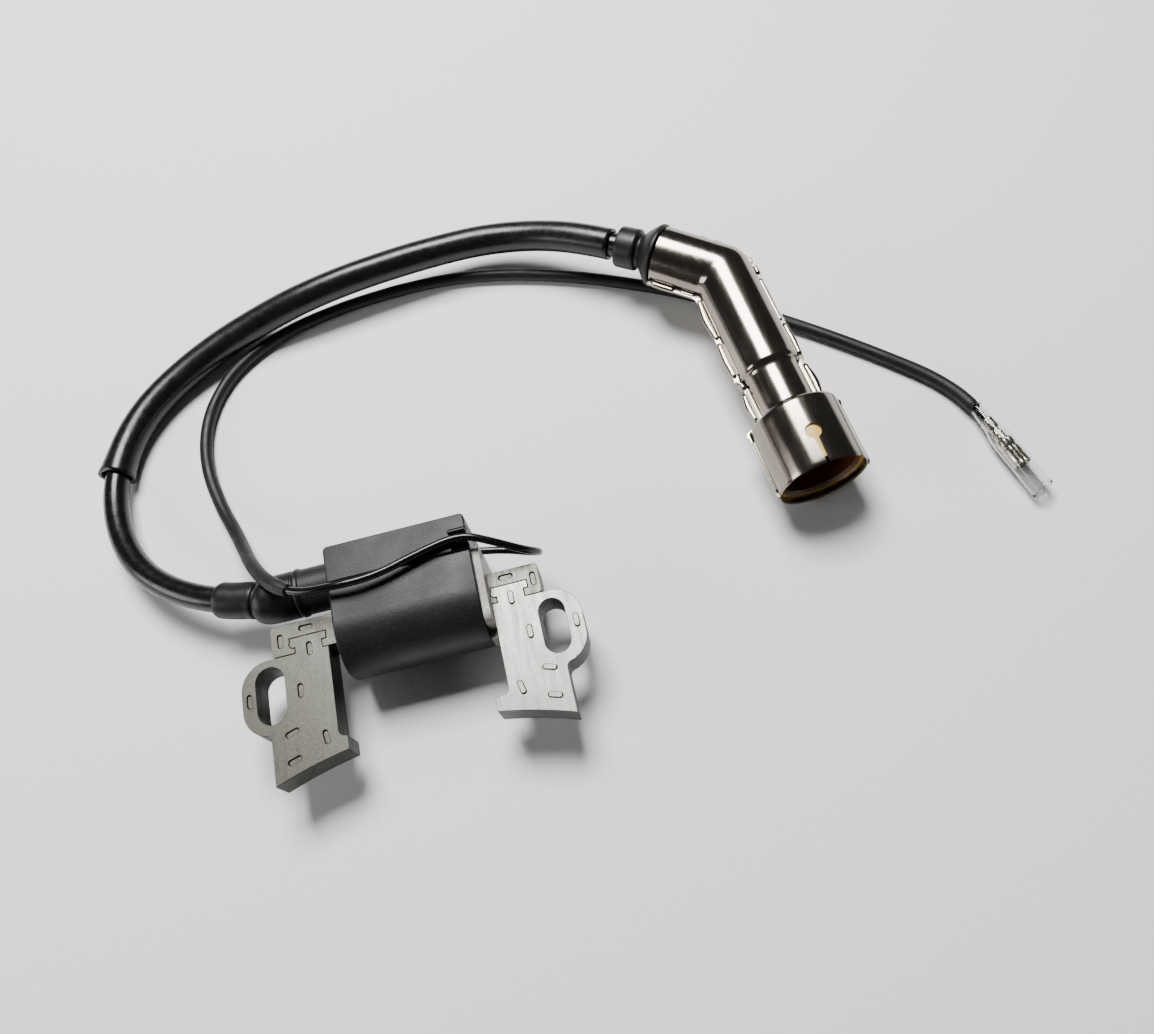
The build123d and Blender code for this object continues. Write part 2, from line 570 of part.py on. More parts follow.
def lead_screw():
    """Screw terminal moulded in the elbow, whose point enters the lead's core."""
    point_x = -SCREW_TIP + SCREW_POINT
    point = taper(-SCREW_TIP, point_x, SCREW_TIP_R, SCREW_R)
    link = along_arm(0, RESISTOR_X0, SCREW_LINK_R)
    return cap_place() * (rod(point_x, 0, SCREW_R) + point + Sphere(SCREW_HEAD_R) + link)


def cap_resistor():
    return cap_place() * along_arm(RESISTOR_X0, RESISTOR_X1, RESISTOR_R)


def cap_spring():
    """Contact spring between the resistor and the plug terminal."""
    length = SPRING_X1 - RESISTOR_X1 - 2 * SPRING_WIRE_R
    helix = Helix(pitch=length / SPRING_TURNS, height=length, radius=SPRING_COIL_R)
    section = Plane(origin=helix @ 0, z_dir=helix % 0) * Circle(SPRING_WIRE_R)
    coil = sweep(section, path=helix, is_frenet=True)
    return cap_place() * LONG_ARM * Pos(RESISTOR_X1 + SPRING_WIRE_R, 0, 0) * Rot(0, 90, 0) * coil


def ring_groove(outer):
    """Ring in the plug terminal's groove, out to the given radius."""
    x0 = TERMINAL_X1 - RING_BACK
    x1 = x0 + RING_W
    return along_arm(x0, x1, outer) - along_arm(x0, x1, TERMINAL_R - RING_DEPTH)


def plug_terminal():
    """Brass clip for the plug's terminal nut, with a groove for its snap ring."""
    base_x = SPRING_X1 + TERMINAL_BASE_T
    end_x = TERMINAL_X1 - TERMINAL_SHORT
    clip = along_arm(SPRING_X1, end_x, TERMINAL_R) - along_arm(base_x, end_x, TERMINAL_BORE)
    lead_in = taper(end_x - TERMINAL_BEVEL, end_x, TERMINAL_BORE, TERMINAL_BORE + TERMINAL_BEVEL)
    return cap_place() * (clip - LONG_ARM * lead_in - ring_groove(TERMINAL_R + OVER))


def terminal_snap_ring():
    x0 = TERMINAL_X1 - RING_BACK
    gap = slab(x0 - OVER, x0 + RING_W + OVER, -RING_GAP / 2, RING_GAP / 2, 0, 2 * TERMINAL_R)
    return cap_place() * (ring_groove(TERMINAL_R + RING_PROUD) - LONG_ARM * gap)


def cap_seal():
    """Rubber seal: collar on the lead, flared skirt at the shield's mouth, spigot inside."""
    lip = -MOUTH - FREE_GAP
    collar = rod(SEAL_COLLAR_X0, SEAL_COLLAR_X1, SEAL_COLLAR_R)
    collar = fillet(collar.edges().filter_by(GeomType.CIRCLE), SEAL_FILLET)
    waist = rod(SEAL_WAIST_X0, SEAL_WAIST_X1, SEAL_WAIST_R)
    skirt = taper(SEAL_SKIRT_X0, lip - SEAL_EDGE_T, SEAL_SKIRT_R, ARM_R)
    edge = rod(lip - SEAL_EDGE_T, lip, ARM_R)
    spigot = rod(lip, -SEAL_IN, SEAL_SPIGOT_R)
    return cap_place() * (collar + waist + skirt + edge + spigot) - hose(LEAD_PATH, LEAD_R)


NODES = {
    "core_yoke": core_yoke, "core_leg_left": core_leg_left, "core_leg_right": core_leg_right,
    "housing": housing, "primary_bobbin": primary_bobbin, "primary_winding": primary_winding,
    "secondary_bobbin": secondary_bobbin, "secondary_winding": secondary_winding,
    "trigger_board": trigger_board, "igniter_transistor": igniter_transistor,
    "board_resistors": board_resistors, "ht_terminal": ht_terminal,
    "potting_resin": potting_resin, "outlet_boot": outlet_boot,
    "ht_lead": ht_lead, "protective_sleeve": protective_sleeve, "cap_seal": cap_seal,
    "cap_shield_upper": cap_shield_upper, "cap_shield_lower": cap_shield_lower,
    "cap_insulator": cap_insulator, "lead_screw": lead_screw, "cap_resistor": cap_resistor,
    "cap_spring": cap_spring, "plug_terminal": plug_terminal,
    "terminal_snap_ring": terminal_snap_ring,
    "stop_wire": stop_wire, "braided_sleeve": braided_sleeve,
    "bullet_terminal": bullet_terminal, "terminal_insulator": terminal_insulator,
}


def report_cord(name, route, path, radius, solid):
    expected = pi * radius**2 * path.length
    radii = ", ".join(f"{r:.1f}" for r in corner_radii(route))
    print(f"{name}: length {path.length:.1f}, volume {solid.volume:.0f}, expected {expected:.0f}")
    print(f"  arc radii {radii}")


os.makedirs("parts", exist_ok=True)
for node, make in NODES.items():
    export_step(make(), f"parts/{node}.step")
report_cord("ht_lead", LEAD_ROUTE, LEAD_PATH, LEAD_R, hose(LEAD_PATH, LEAD_R))
report_cord("stop_wire", WIRE_ROUTE, WIRE_PATH, WIRE_R, wire_tube(WIRE_R))
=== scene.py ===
import json
import math

import bmesh
import bpy
from mathutils import Matrix, Vector, noise


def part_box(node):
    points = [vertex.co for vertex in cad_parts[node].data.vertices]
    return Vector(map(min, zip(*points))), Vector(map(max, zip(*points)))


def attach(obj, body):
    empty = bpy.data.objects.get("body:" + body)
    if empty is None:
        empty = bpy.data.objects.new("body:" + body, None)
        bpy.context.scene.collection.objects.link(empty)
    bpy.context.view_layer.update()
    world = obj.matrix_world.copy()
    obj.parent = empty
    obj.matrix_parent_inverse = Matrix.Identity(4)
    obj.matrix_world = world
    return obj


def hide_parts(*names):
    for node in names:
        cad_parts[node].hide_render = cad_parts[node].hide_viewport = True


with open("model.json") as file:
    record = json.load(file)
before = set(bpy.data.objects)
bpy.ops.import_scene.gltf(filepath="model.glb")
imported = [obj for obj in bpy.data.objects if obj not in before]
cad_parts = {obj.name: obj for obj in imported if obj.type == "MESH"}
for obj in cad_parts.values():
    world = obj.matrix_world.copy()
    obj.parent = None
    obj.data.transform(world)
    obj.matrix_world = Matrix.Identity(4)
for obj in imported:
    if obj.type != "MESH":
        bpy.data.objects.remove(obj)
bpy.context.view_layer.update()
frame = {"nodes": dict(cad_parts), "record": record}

MM = 0.001
COIL, CAP = "coil", "plug_cap"


def mm(*values):
    return Vector([v * MM for v in values])


# ------------------------------------------------------------------ camera and cords

CAMERA_AT = mm(49.8, -86.7, 249.7)
CAMERA_TARGET = mm(47.4, 29.8, 0.0)
CAMERA_ROLL = math.radians(-15.2)
LENS_MM, SENSOR_MM = 31.2, 36.0
CLIP_START = 0.01

LEAD_R, SLEEVE_IN, SLEEVE_OUT = 3.5 * MM, 3.8 * MM, 4.55 * MM
WIRE_R, BRAID_R = 1.0 * MM, 1.8 * MM
SPAN_STEPS, SPLINE_ORDER, ROUND_STEPS = 16, 3, 8

LEAD_ROUTE = [
    (-17.5, 21.8, 13.0), (-37.0, 21.8, 13.0), (-56.5, 28.5, 11.8), (-71.5, 40.5, 9.0),
    (-79.5, 57.5, 6.4), (-80.5, 76.5, 4.9), (-73.0, 94.0, 4.7), (-58.0, 107.0, 4.8),
    (-37.0, 116.0, 6.8), (-12.0, 120.0, 11.0), (18.0, 123.5, 10.8), (47.0, 124.0, 9.6),
    (74.3, 108.6, 15.5), (97.0, 90.5, 15.5),
]
WIRE_ROUTE = [
    (16.5, 23.4, 9.5), (25.5, 22.2, 8.6), (33.8, 18.8, 9.2), (36.8, 15.4, 15.6),
    (32.4, 14.6, 22.2), (25.6, 17.2, 25.8), (18.5, 20.2, 27.5), (7.5, 18.0, 27.6),
    (-4.0, 14.6, 28.0),
    (-15.0, 14.4, 28.6), (-24.5, 16.2, 26.2), (-31.5, 21.5, 24.1), (-37.0, 29.5, 19.0),
    (-41.5, 38.0, 11.2), (-46.0, 48.0, 4.8), (-50.8, 59.0, 2.1), (-54.0, 71.0, 2.0),
    (-54.4, 83.5, 2.0), (-50.8, 95.3, 2.0), (-42.7, 106.1, 2.0), (-30.3, 113.3, 2.0),
    (-14.0, 117.6, 2.0), (6.0, 119.6, 2.0), (27.0, 119.2, 2.0), (48.0, 114.4, 2.0),
    (70.0, 105.5, 2.0), (92.0, 94.0, 2.0), (112.0, 80.0, 2.0), (130.0, 65.5, 2.0),
    (145.5, 51.5, 2.0), (155.0, 41.5, 2.1), (159.8, 31.5, 3.2), (162.5, 21.0, 3.2),
]


def make_camera():
    data = bpy.data.cameras.new("camera")
    data.lens, data.sensor_width = LENS_MM, SENSOR_MM
    data.clip_start = CLIP_START
    camera = bpy.data.objects.new("camera", data)
    bpy.context.collection.objects.link(camera)
    aim = (CAMERA_TARGET - CAMERA_AT).to_track_quat("-Z", "Y").to_matrix()
    turn = aim @ Matrix.Rotation(CAMERA_ROLL, 3, "Z")
    camera.matrix_world = Matrix.Translation(CAMERA_AT) @ turn.to_4x4()
    bpy.context.scene.camera = camera


def cord_curve(name, route):
    """Open NURBS spline through a cord's route, as a curve object with no thickness yet."""
    data = bpy.data.curves.new(name, "CURVE")
    data.dimensions = "3D"
    data.resolution_u = SPAN_STEPS
    spline = data.splines.new("NURBS")
    spline.points.add(len(route) - 1)
    for point, place in zip(spline.points, route):
        point.co = (*mm(*place), 1.0)
    spline.order_u = SPLINE_ORDER
    spline.use_endpoint_u = True
    curve = bpy.data.objects.new(name, data)
    bpy.context.collection.objects.link(curve)
    return curve


class Path:
    """A line of points with distances along it and a frame that doesn't twist."""

    def __init__(self, points):
        self.points = points
        self.along = [0.0]
        for a, b in zip(points, points[1:]):
            self.along.append(self.along[-1] + (b - a).length)
        self.length = self.along[-1]
        side = Vector((0, 0, 1)).cross(points[1] - points[0]).normalized()
        self.sides = []
        for i in range(len(points)):
            tangent = self.tangent_at(i)
            side = (side - tangent * side.dot(tangent)).normalized()
            self.sides.append(side)

    def tangent_at(self, i):
        low, high = max(i - 1, 0), min(i + 1, len(self.points) - 1)
        return (self.points[high] - self.points[low]).normalized()

    def frame(self, distance):
        """Centre, tangent, side and up at a distance, run straight on past either end."""
        last = len(self.points) - 2
        i = 0
        while i < last and self.along[i + 1] < distance:
            i += 1
        part = (distance - self.along[i]) / (self.along[i + 1] - self.along[i])
        centre = self.points[i].lerp(self.points[i + 1], part)
        mix = min(max(part, 0.0), 1.0)
        tangent = self.tangent_at(i).lerp(self.tangent_at(i + 1), mix).normalized()
        side = self.sides[i].lerp(self.sides[i + 1], mix)
        side = (side - tangent * side.dot(tangent)).normalized()
        return centre, tangent, side, tangent.cross(side)


def curve_path(curve):
    mesh = bpy.data.meshes.new_from_object(curve)
    points = [v.co.copy() for v in mesh.vertices]
    bpy.data.meshes.remove(mesh)
    return Path(points)


def thicken(curve, radius):
    curve.data.bevel_depth = radius
    curve.data.bevel_resolution = ROUND_STEPS
    curve.data.use_fill_caps = True


make_camera()
lead = cord_curve("high_tension_lead", LEAD_ROUTE)
stop_lead = cord_curve("stop_lead", WIRE_ROUTE)
lead_path = curve_path(lead)
wire_path = curve_path(stop_lead)
thicken(lead, LEAD_R)
thicken(stop_lead, WIRE_R)


# ------------------------------------------------------------------ materials

def new_material(name, **constants):
    """Principled material; constants are set straight on the shader's sockets."""
    material = bpy.data.materials.new(name)
    material.use_nodes = True
    shader = material.node_tree.nodes["Principled BSDF"]
    for socket, value in constants.items():
        shader.inputs[socket.replace("_", " ")].default_value = value
    return material, material.node_tree, shader


def add_node(tree, kind, **settings):
    node = tree.nodes.new(kind)
    for key, value in settings.items():
        setattr(node, key, value)
    return node


def noise_field(tree, scale, detail=4.0, roughness=0.55, stretch=(1, 1, 1)):
    """Noise in object space, in cycles per metre."""
    where = add_node(tree, "ShaderNodeTexCoord")
    mapping = add_node(tree, "ShaderNodeMapping")
    mapping.inputs["Scale"].default_value = stretch
    field = add_node(tree, "ShaderNodeTexNoise")
    field.inputs["Scale"].default_value = scale
    field.inputs["Detail"].default_value = detail
    field.inputs["Roughness"].default_value = roughness
    tree.links.new(where.outputs["Object"], mapping.inputs["Vector"])
    tree.links.new(mapping.outputs["Vector"], field.inputs["Vector"])
    return field.outputs["Fac"]


def ramp(tree, source, stops):
    """Colour ramp; each stop is a position and a colour or a grey level."""
    node = add_node(tree, "ShaderNodeValToRGB")
    bands = node.color_ramp.elements
    while len(bands) < len(stops):
        bands.new(0.5)
    for band, (place, colour) in zip(bands, stops):
        band.position = place
        band.color = (*colour, 1) if isinstance(colour, tuple) else (colour, colour, colour, 1)
    tree.links.new(source, node.inputs["Fac"])
    return node.outputs["Color"]


# Places of a Mix node's colour sockets
MIX_FACTOR, MIX_FIRST, MIX_SECOND, MIX_RESULT = 0, 6, 7, 2


def mix_colours(tree, factor, first, second):
    node = add_node(tree, "ShaderNodeMix", data_type="RGBA")
    for socket, value in ((MIX_FACTOR, factor), (MIX_FIRST, first), (MIX_SECOND, second)):
        if isinstance(value, bpy.types.NodeSocket):
            tree.links.new(value, node.inputs[socket])
        elif isinstance(value, tuple):
            node.inputs[socket].default_value = (*value, 1)
        else:
            node.inputs[socket].default_value = value
    return node.outputs[MIX_RESULT]


def bump(tree, shader, heights):
    """Chains bumps; each is a height field, a strength and a distance in metres."""
    normal = None
    for field, strength, distance in heights:
        node = add_node(tree, "ShaderNodeBump")
        node.inputs["Strength"].default_value = strength
        node.inputs["Distance"].default_value = distance
        tree.links.new(field, node.inputs["Height"])
        if normal:
            tree.links.new(normal, node.inputs["Normal"])
        normal = node.outputs["Normal"]
    tree.links.new(normal, shader.inputs["Normal"])


def facing_up(tree):
    """0 on walls, 1 on faces that look up or down."""
    geometry = add_node(tree, "ShaderNodeNewGeometry")
    split = add_node(tree, "ShaderNodeSeparateXYZ")
    size = add_node(tree, "ShaderNodeMath", operation="ABSOLUTE")
    tree.links.new(geometry.outputs["True Normal"], split.inputs["Vector"])
    tree.links.new(split.outputs["Z"], size.inputs[0])
    return ramp(tree, size.outputs[0], [(0.45, 0.0), (0.8, 1.0)])


def core_steel(name, light, dark, wall):
    """Blanked electrical steel: satin face with fine speckle and stains; the sheared walls are
    painted dark as shade.
    """
    material, tree, shader = new_material(name, Metallic=0.85)
    speckle = noise_field(tree, 2300, 5, 0.8)
    stains = noise_field(tree, 120, 5, 0.6)
    rolled = noise_field(tree, 900, 2, 0.5, (1, 0.12, 1))
    face = ramp(tree, speckle, [(0.36, dark), (0.62, light)])
    face = mix_colours(tree, ramp(tree, stains, [(0.35, 0.0), (0.75, 0.45)]), face, dark)
    # Walls get the dark wall colour as painted shade on the sides of the stack, mottled by the
    # stains; faces that look up or down keep the face colour.
    edge = ramp(tree, stains, [(0.3, wall), (0.8, tuple(c * 2.4 for c in wall))])
    colour = mix_colours(tree, facing_up(tree), edge, face)
    tree.links.new(colour, shader.inputs["Base Color"])
    tree.links.new(ramp(tree, rolled, [(0.3, 0.34), (0.75, 0.5)]), shader.inputs["Roughness"])
    bump(tree, shader, [(speckle, 0.22, 0.00006), (rolled, 0.12, 0.00004)])
    return material


def moulded_plastic(name, light, dark, grain=2400, low=0.5, high=0.68, gloss=0.5):
    """Fine-grained moulding with faint glass-fibre flecks."""
    material, tree, shader = new_material(name, IOR=1.5, Specular_IOR_Level=gloss)
    fine = noise_field(tree, grain, 3, 0.65)
    flecks = noise_field(tree, grain * 0.55, 2, 0.5, (1, 2.6, 1))
    broad = noise_field(tree, 90, 4, 0.5)
    colour = ramp(tree, fine, [(0.35, dark), (0.7, light)])
    bright = tuple(min(c * 2.6, 1) for c in light)
    colour = mix_colours(tree, ramp(tree, flecks, [(0.66, 0.0), (0.74, 0.55)]), colour, bright)
    tree.links.new(colour, shader.inputs["Base Color"])
    tree.links.new(ramp(tree, broad, [(0.3, low), (0.7, high)]), shader.inputs["Roughness"])
    bump(tree, shader, [(fine, 0.35, 0.00012), (broad, 0.08, 0.0003)])
    return material


def glossy_rubber(name, colour, low, high, ripple=0.12, gloss=0.5):
    """Extruded or moulded rubber with a soft shine, scuffs and a little dust."""
    material, tree, shader = new_material(name, IOR=1.5, Specular_IOR_Level=gloss)
    scuff = noise_field(tree, 420, 5, 0.6)
    dust = noise_field(tree, 2100, 2, 0.5)
    pale = tuple(c * 3.2 + 0.012 for c in colour)
    tint = mix_colours(tree, ramp(tree, dust, [(0.64, 0.0), (0.76, 0.5)]), colour, pale)
    tree.links.new(tint, shader.inputs["Base Color"])
    tree.links.new(ramp(tree, scuff, [(0.35, low), (0.72, high)]), shader.inputs["Roughness"])
    bump(tree, shader, [(scuff, ripple, 0.00015), (dust, 0.06, 0.00005)])
    return material


def nickel_plate():
    """Dark nickel on stamped sheet: bright, warm, with drawing lines and small pits."""
    material, tree, shader = new_material("nickel_plate", Metallic=1.0)
    drawn = noise_field(tree, 700, 3, 0.6, (1, 0.08, 1))
    pits = noise_field(tree, 1900, 2, 0.6)
    cloud = noise_field(tree, 70, 4, 0.55)
    tone = ramp(tree, cloud, [(0.3, (0.23, 0.20, 0.168)), (0.7, (0.33, 0.295, 0.25))])
    pitted = ramp(tree, pits, [(0.68, 0.0), (0.76, 0.6)])
    tone = mix_colours(tree, pitted, tone, (0.12, 0.10, 0.085))
    tree.links.new(tone, shader.inputs["Base Color"])
    tree.links.new(ramp(tree, drawn, [(0.3, 0.13), (0.75, 0.2)]), shader.inputs["Roughness"])
    bump(tree, shader, [(drawn, 0.02, 0.00005), (cloud, 0.04, 0.0005)])
    return material


def from_axis(tree, origin, direction, near, far):
    """0 within the near distance of a line and 1 beyond the far one."""
    where = add_node(tree, "ShaderNodeTexCoord")
    offset = add_node(tree, "ShaderNodeVectorMath", operation="SUBTRACT")
    across = add_node(tree, "ShaderNodeVectorMath", operation="CROSS_PRODUCT")
    size = add_node(tree, "ShaderNodeVectorMath", operation="LENGTH")
    spread = add_node(tree, "ShaderNodeMapRange")
    offset.inputs[1].default_value, across.inputs[1].default_value = origin, direction
    spread.inputs["From Min"].default_value, spread.inputs["From Max"].default_value = near, far
    tree.links.new(where.outputs["Object"], offset.inputs[0])
    tree.links.new(offset.outputs["Vector"], across.inputs[0])
    tree.links.new(across.outputs["Vector"], size.inputs[0])
    tree.links.new(size.outputs["Value"], spread.inputs["Value"])
    return spread.outputs["Result"]


def amber_phenolic():
    material, tree, shader = new_material("amber_phenolic", IOR=1.58, Subsurface_Weight=0.12)
    shader.inputs["Subsurface Radius"].default_value = (0.004, 0.0015, 0.0004)
    swirl = noise_field(tree, 160, 5, 0.6)
    fine = noise_field(tree, 1500, 3, 0.6)
    # Inside the socket's bore the amber is painted dark brown as shade; the skin beyond it keeps
    # the amber's own colour.
    bore_painted_shade = ramp(tree, swirl, [(0.3, (0.05, 0.014, 0.004)), (0.7, (0.15, 0.045, 0.009))])
    skin = ramp(tree, swirl, [(0.3, (0.55, 0.32, 0.045)), (0.7, (0.72, 0.47, 0.09))])
    wall = from_axis(tree, ELBOW, LONG, SOCKET_BORE * MM, SOCKET_SKIN * MM)
    colour = mix_colours(tree, wall, bore_painted_shade, skin)
    tree.links.new(colour, shader.inputs["Base Color"])
    tree.links.new(ramp(tree, fine, [(0.3, 0.3), (0.7, 0.46)]), shader.inputs["Roughness"])
    bump(tree, shader, [(fine, 0.12, 0.00008)])
    return material


def plated_metal(name, light, dark, low=0.22, high=0.42):
    """Small bright metal pieces: brass, tin or copper, with tarnish."""
    material, tree, shader = new_material(name, Metallic=1.0)
    tarnish = noise_field(tree, 520, 5, 0.6)
    fine = noise_field(tree, 3000, 2, 0.5)
    tree.links.new(ramp(tree, tarnish, [(0.32, dark), (0.66, light)]), shader.inputs["Base Color"])
    tree.links.new(ramp(tree, tarnish, [(0.3, high), (0.7, low)]), shader.inputs["Roughness"])
    bump(tree, shader, [(fine, 0.12, 0.00005)])
    return material


def woven_glass():
    """Black varnished glass braid; the strands themselves are in the mesh."""
    material, tree, shader = new_material("woven_glass", IOR=1.5, Specular_IOR_Level=0.3)
    fibres = noise_field(tree, 5200, 2, 0.5)
    patches = noise_field(tree, 260, 4, 0.5)
    colour = ramp(tree, fibres, [(0.35, (0.002, 0.002, 0.002)), (0.75, (0.014, 0.014, 0.0135))])
    tree.links.new(colour, shader.inputs["Base Color"])
    tree.links.new(ramp(tree, patches, [(0.3, 0.36), (0.7, 0.56)]), shader.inputs["Roughness"])
    bump(tree, shader, [(fibres, 0.4, 0.00008)])
    return material


def clear_vinyl():
    """Soft clear sleeve, faintly milky with flow marks."""
    material, tree, shader = new_material("clear_vinyl", IOR=1.38, Transmission_Weight=1.0)
    flow = noise_field(tree, 300, 4, 0.55)
    colour = ramp(tree, flow, [(0.3, (0.93, 0.94, 0.94)), (0.7, (0.99, 0.99, 0.99))])
    tree.links.new(colour, shader.inputs["Base Color"])
    tree.links.new(ramp(tree, flow, [(0.3, 0.02), (0.7, 0.09)]), shader.inputs["Roughness"])
    bump(tree, shader, [(flow, 0.12, 0.0003)])
    return material


def floor_paint():
    material, tree, shader = new_material("floor_paint", Roughness=0.75)
    grain = noise_field(tree, 900, 4, 0.6)
    tint = ramp(tree, grain, [(0.3, (0.80, 0.80, 0.80)), (0.7, (0.84, 0.84, 0.84))])
    tree.links.new(tint, shader.inputs["Base Color"])
    bump(tree, shader, [(grain, 0.05, 0.0001)])
    return material


# Lit and shaded copies of one steel: the lighter copy is painted light from the lamp's reflection,
# the darker copy is painted shade.
STEEL_PAINTED_LIT = core_steel(
    "core_steel_painted_lit", (0.31, 0.308, 0.29), (0.15, 0.15, 0.14), (0.03, 0.03, 0.028),
)
STEEL_PAINTED_SHADE = core_steel(
    "core_steel_painted_shade", (0.125, 0.123, 0.106), (0.065, 0.064, 0.054), (0.018, 0.0175, 0.015),
)
NYLON = moulded_plastic(
    "black_nylon", (0.013, 0.0136, 0.0145), (0.005, 0.0053, 0.0058), 1500, 0.42, 0.55, 0.3,
)
BOBBIN = moulded_plastic("grey_nylon", (0.36, 0.34, 0.31), (0.22, 0.205, 0.185), 1600, 0.4, 0.55)
BOOT = glossy_rubber("boot_rubber", (0.004, 0.0041, 0.0044), 0.36, 0.5, 0.12, 0.3)
JACKET = glossy_rubber("lead_jacket", (0.003, 0.003, 0.0033), 0.2, 0.32, 0.12, 0.4)
VINYL = glossy_rubber("sleeve_vinyl", (0.004, 0.0042, 0.0043), 0.24, 0.38, 0.2, 0.4)
WIRE = glossy_rubber("wire_jacket", (0.0025, 0.0025, 0.0027), 0.16, 0.28, 0.12, 0.4)
NICKEL = nickel_plate()
BRASS = plated_metal("brass", (0.80, 0.60, 0.30), (0.45, 0.30, 0.12))
TIN = plated_metal("tinned_brass", (0.80, 0.76, 0.68), (0.22, 0.19, 0.14), 0.1, 0.3)
SPRING = plated_metal("spring_steel", (0.66, 0.66, 0.65), (0.35, 0.35, 0.34))
COPPER = plated_metal("enamelled_copper", (0.62, 0.26, 0.10), (0.30, 0.10, 0.04), 0.25, 0.4)
RESIN = glossy_rubber("casting_resin", (0.012, 0.011, 0.010), 0.18, 0.34, 0.3)
BOARD = moulded_plastic("board_laminate", (0.05, 0.20, 0.08), (0.03, 0.13, 0.05), 1800, 0.3, 0.45)
CHIP = moulded_plastic("chip_epoxy", (0.03, 0.03, 0.03), (0.018, 0.018, 0.018))
CERAMIC = moulded_plastic("fired_ceramic", (0.74, 0.70, 0.62), (0.62, 0.58, 0.50), 1500, 0.5, 0.65)
BRAID = woven_glass()
CLEAR = clear_vinyl()


# ------------------------------------------------------------------ mesh helpers

SMOOTH_ANGLE = math.radians(35)


def mesh_object(name, points, faces, material, smooth=True):
    mesh = bpy.data.meshes.new(name)
    mesh.from_pydata([tuple(p) for p in points], [], faces)
    mesh.validate()
    mesh.update()
    piece = bpy.data.objects.new(name, mesh)
    bpy.context.collection.objects.link(piece)
    mesh.materials.append(material)
    if smooth:
        mesh.shade_smooth()
    return piece


def rings_object(name, rings, material, closed=False):
    """Skin over rings of equal size; closed joins the last ring to the first."""
    count = len(rings[0])
    points = [p for ring in rings for p in ring]
    faces = []
    spans = len(rings) if closed else len(rings) - 1
    for i in range(spans):
        a, b = i * count, ((i + 1) % len(rings)) * count
        for j in range(count):
            k = (j + 1) % count
            faces.append((a + j, a + k, b + k, b + j))
    if not closed:
        faces.append(tuple(reversed(range(count))))
        last = (len(rings) - 1) * count
        faces.append(tuple(last + j for j in range(count)))
    piece = mesh_object(name, points, faces, material)
    fix_normals(piece)
    return piece


def fix_normals(piece):
    work = bmesh.new()
    work.from_mesh(piece.data)
    bmesh.ops.recalc_face_normals(work, faces=work.faces)
    work.to_mesh(piece.data)
    work.free()


def lathe(name, path, profile, material, segments=48, closed=False, shape=None):
    """Round piece along a path; each profile point is a distance and a radius, both in metres."""
    rings = []
    for distance, radius in profile:
        centre, tangent, side, up = path.frame(distance)
        ring = []
        for j in range(segments):
            angle = 2 * math.pi * j / segments
            grow, slide = shape(distance, angle, radius) if shape else (1.0, 0.0)
            spoke = side * math.cos(angle) + up * math.sin(angle)
            ring.append(centre + tangent * slide + spoke * (radius * grow))
        rings.append(ring)
    return rings_object(name, rings, material, closed)


def adopt(piece, body, slot, *nodes):
    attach(piece, body)
    if nodes:
        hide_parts(*nodes)
    return piece


def paint(node, material):
    mesh = frame["nodes"][node].data
    mesh.materials.clear()
    mesh.materials.append(material)
    for face in mesh.polygons:
        face.material_index = 0


# ------------------------------------------------------------------ along the lead

SLEEVE_START, SLEEVE_STOP = 0.318, 0.915
BRAID_START, BRAID_STOP = 0.212, 0.978
BRAID_STRANDS, SAMPLES = 12, 4
BRAID_DEPTH, BRAID_LEVEL = 0.24 * MM, 0.75
BRAID_PINCHED, BRAID_OPENS = 0.82, 0.18        # share of the radius at the ends, and what is added
BRAID_TAPER_IN, BRAID_TAPER_OUT = 3 * MM, 2 * MM


def wave(distance, angle, size, scale=60.0):
    """Gentle unevenness round and along a soft tube."""
    place = Vector((distance * scale, math.cos(angle), math.sin(angle)))
    return 1.0 + size * noise.noise(place)


def loose_sleeve():
    """Cut vinyl tube over the lead; its open end is slanted and a little flared."""
    start, stop = SLEEVE_START * lead_path.length, SLEEVE_STOP * lead_path.length
    flare, slant, steps = 9 * MM, 0.16, 150
    outer = [(start + (stop - start) * i / steps, SLEEVE_OUT) for i in range(steps + 1)]
    inner = [(d, SLEEVE_IN) for d, _ in reversed(outer)]

    def shape(distance, angle, radius):
        near = max(0.0, 1.0 - (distance - start) / flare)
        outward = max(0.0, math.cos(angle)) ** 2
        grow = wave(distance, angle, 0.02) + near * near * (0.03 + 0.3 * outward)
        return grow, slant * radius * near * math.cos(angle)

    return lathe("loose_sleeve", lead_path, outer + inner, VINYL, 40, True, shape)


BLEND_STEPS = 60


def blend_path(path, centre, direction, first, last, straight_at, cord_at):
    """Line that is straight at one distance along a cord and on the cord itself at the other."""
    points = []
    for i in range(BLEND_STEPS + 1):
        distance = first + (last - first) * i / BLEND_STEPS
        straight = centre + direction * distance
        part = min(max((distance - straight_at) / (cord_at - straight_at), 0.0), 1.0)
        part = part * part * (3 - 2 * part)
        points.append(straight.lerp(path.frame(distance)[0], part))
    return Path(points)


CORNER_SHARE = 0.45               # most of an edge that a rounded corner may take


def smooth_profile(corners, cut):
    """Rounds each corner of a profile given in millimetres; returns metres."""
    spots = [Vector(c) for c in corners]
    rounded = [spots[0]]
    for before, here, after in zip(spots, spots[1:], spots[2:]):
        back, ahead = before - here, after - here
        reach = min(cut, CORNER_SHARE * back.length, CORNER_SHARE * ahead.length)
        first, last = here + back.normalized() * reach, here + ahead.normalized() * reach
        rounded.extend((first, (first + 2 * here + last) / 4, last))
    rounded.append(spots[-1])
    return [(p.x * MM, p.y * MM) for p in rounded]


def densify(profile, step):
    """Adds points so that no two neighbours are further apart than the step along the path."""
    full = [profile[0]]
    for (d0, r0), (d1, r1) in zip(profile, profile[1:]):
        count = max(1, math.ceil(abs(d1 - d0) / step))
        for k in range(1, count + 1):
            full.append((d0 + (d1 - d0) * k / count, r0 + (r1 - r0) * k / count))
    return full


